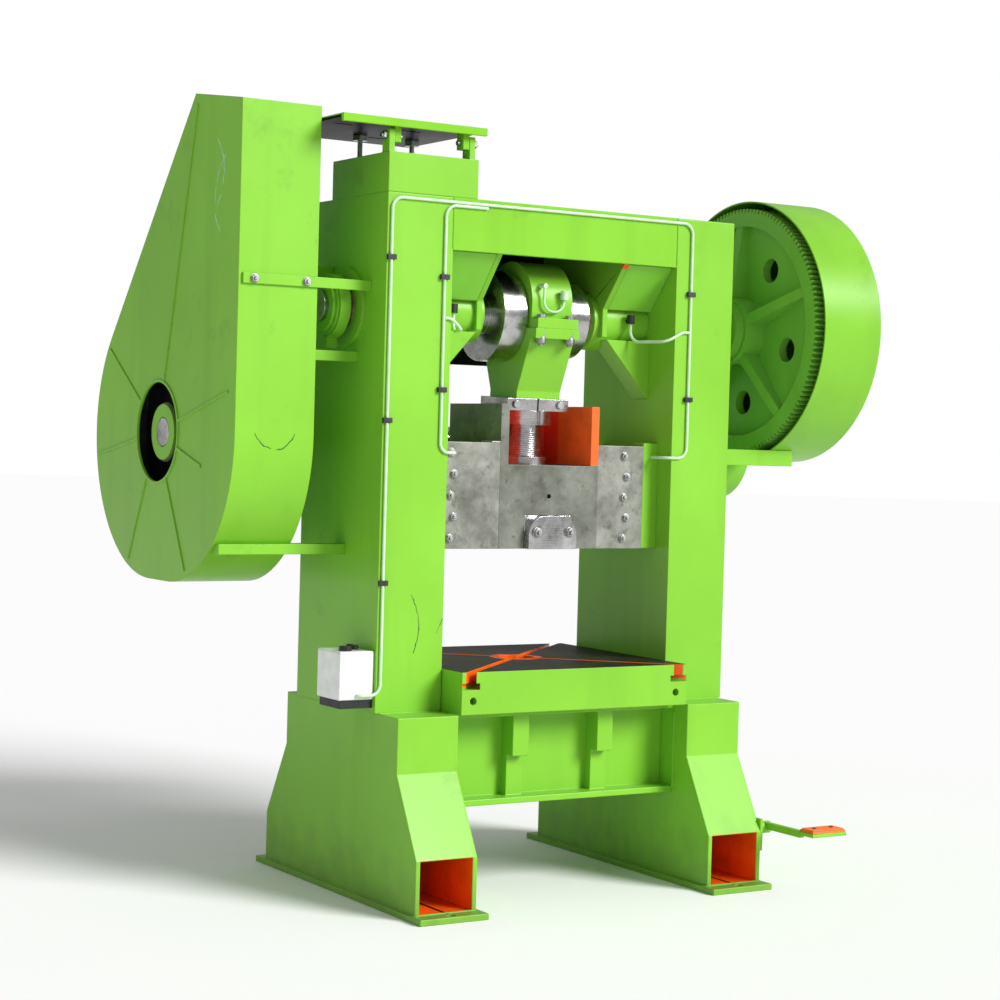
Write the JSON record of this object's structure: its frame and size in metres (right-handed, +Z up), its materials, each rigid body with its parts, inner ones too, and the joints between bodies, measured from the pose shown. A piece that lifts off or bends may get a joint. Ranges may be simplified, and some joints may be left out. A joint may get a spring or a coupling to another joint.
{
  "type": "mechanical stamping press",
  "caption": "H-frame crank press with box legs, flared feet, geared crankshaft, connecting rod and guided slide over a T-slotted bolster, belt guard, gear guard and foot pedal.",
  "frame": {"origin": "on the floor, at the middle of the four anchor holes in the two base plates", "axes": "+X to the right along the crankshaft, +Y to the back, +Z up; the slide works along Z"},
  "size_m": [2.269, 1.68, 2.5],
  "materials": {
    "green_paint": "gloss enamel",
    "gear_paint": "gloss enamel on cast steel",
    "bolster_paint": "enamel with a machined top",
    "cast_iron": "as cast, grooves turned",
    "steel": "machined",
    "dark_steel": "dark",
    "fasteners": "zinc plated",
    "bronze": "bronze",
    "white_paint": "satin",
    "black_plastic": "matte",
    "pipe_plastic": "smooth",
    "orange_rubber": "ribbed"
  },
  "bodies": {
    "frame": {"base_plates": "green_paint", "left_leg": "green_paint", "right_leg": "green_paint", "left_column": "green_paint", "right_column": "green_paint", "crown": "green_paint", "window_plates": "green_paint", "slanted_panels": "green_paint", "bearing_housings": "green_paint", "main_bushes": "bronze", "bearing_gussets": "green_paint", "brake_band": "dark_steel", "shaft_bearing_blocks": "green_paint", "belt_guard": "green_paint", "guard_brackets": "green_paint", "left_front_gib": "steel", "right_front_gib": "steel", "gib_wedge": "steel", "gib_block": "green_paint", "guide_blocks": "green_paint", "bolster": "bolster_paint", "bed": "green_paint", "motor_pedestal": "green_paint", "tension_screws": "fasteners", "gear_guard": "green_paint", "lubricator_body": "white_paint", "lubricator_fittings": "black_plastic", "lube_pipes": "pipe_plastic", "oil_fittings": "fasteners", "pedal_bracket": "green_paint", "hinge_pins": "fasteners", "frame_bolts": "fasteners"},
    "crank": {"crankshaft": "steel", "main_gear": "gear_paint", "gear_key": "steel", "gear_nut": "steel", "brake_drum": "steel"},
    "rod": {"connecting_rod": "green_paint", "rod_cap": "green_paint", "rod_bolts": "fasteners", "crankpin_bush": "bronze", "clamp_plate": "steel", "lock_nut": "steel", "ball_screw": "steel", "rod_oil_tube": "pipe_plastic"},
    "ram": {"slide": "steel", "ball_seat": "steel", "retaining_ring": "steel", "shank_clamp": "steel", "clamp_studs": "fasteners"},
    "pinion_shaft": {"back_shaft": "steel", "pinion": "steel", "shaft_collars": "steel", "clutch_plate": "dark_steel"},
    "flywheel": {"flywheel": "cast_iron", "flywheel_bearings": "dark_steel", "flywheel_hub_cap": "green_paint"},
    "motor_plate": {"motor_plate": "green_paint"},
    "pedal": {"pedal_arm": "green_paint", "pedal_pad": "orange_rubber"}
  },
  "joints": [
    {"name": "crank_turn", "type": "hinge", "parent": "frame", "child": "crank", "pos_m": [0, 0, 1.855], "axis": [1, 0, 0], "range_deg": [-150, 30]},
    {"name": "rod_swing", "type": "hinge", "parent": "crank", "child": "rod", "pos_m": [0, -0.02, 1.82036], "axis": [1, 0, 0], "range_deg": [-30.01, 150.01]},
    {"name": "ram_slide", "type": "slide", "parent": "frame", "child": "ram", "axis": [0, 0, 1], "range_m": [-0.01334, 0.06667]},
    {"name": "back_shaft_turn", "type": "hinge", "parent": "frame", "child": "pinion_shaft", "pos_m": [0, 0.42981, 1.445], "axis": [1, 0, 0], "continuous": true},
    {"name": "flywheel_spin", "type": "hinge", "parent": "frame", "child": "flywheel", "pos_m": [0, 0.42981, 1.445], "axis": [1, 0, 0], "continuous": true},
    {"name": "motor_plate_tilt", "type": "hinge", "parent": "frame", "child": "motor_plate", "pos_m": [0, -0.222, 2.372], "axis": [1, 0, 0], "range_deg": [0, 5]},
    {"name": "pedal_press", "type": "hinge", "parent": "frame", "child": "pedal", "pos_m": [0.7, -0.47, 0.19], "axis": [1, 0, 0], "range_deg": [0, 12], "stiffness_Nm_per_rad": 60, "springref_deg": -11.46}
  ],
  "couplings": [
    {"joint": "rod_swing", "follows": "crank_turn", "ratio": -1},
    {"joint": "ram_slide", "follows": "crank_turn", "m_per_rad": -0.025465},
    {"joint": "back_shaft_turn", "follows": "crank_turn", "ratio": -2.4737}
  ]
}
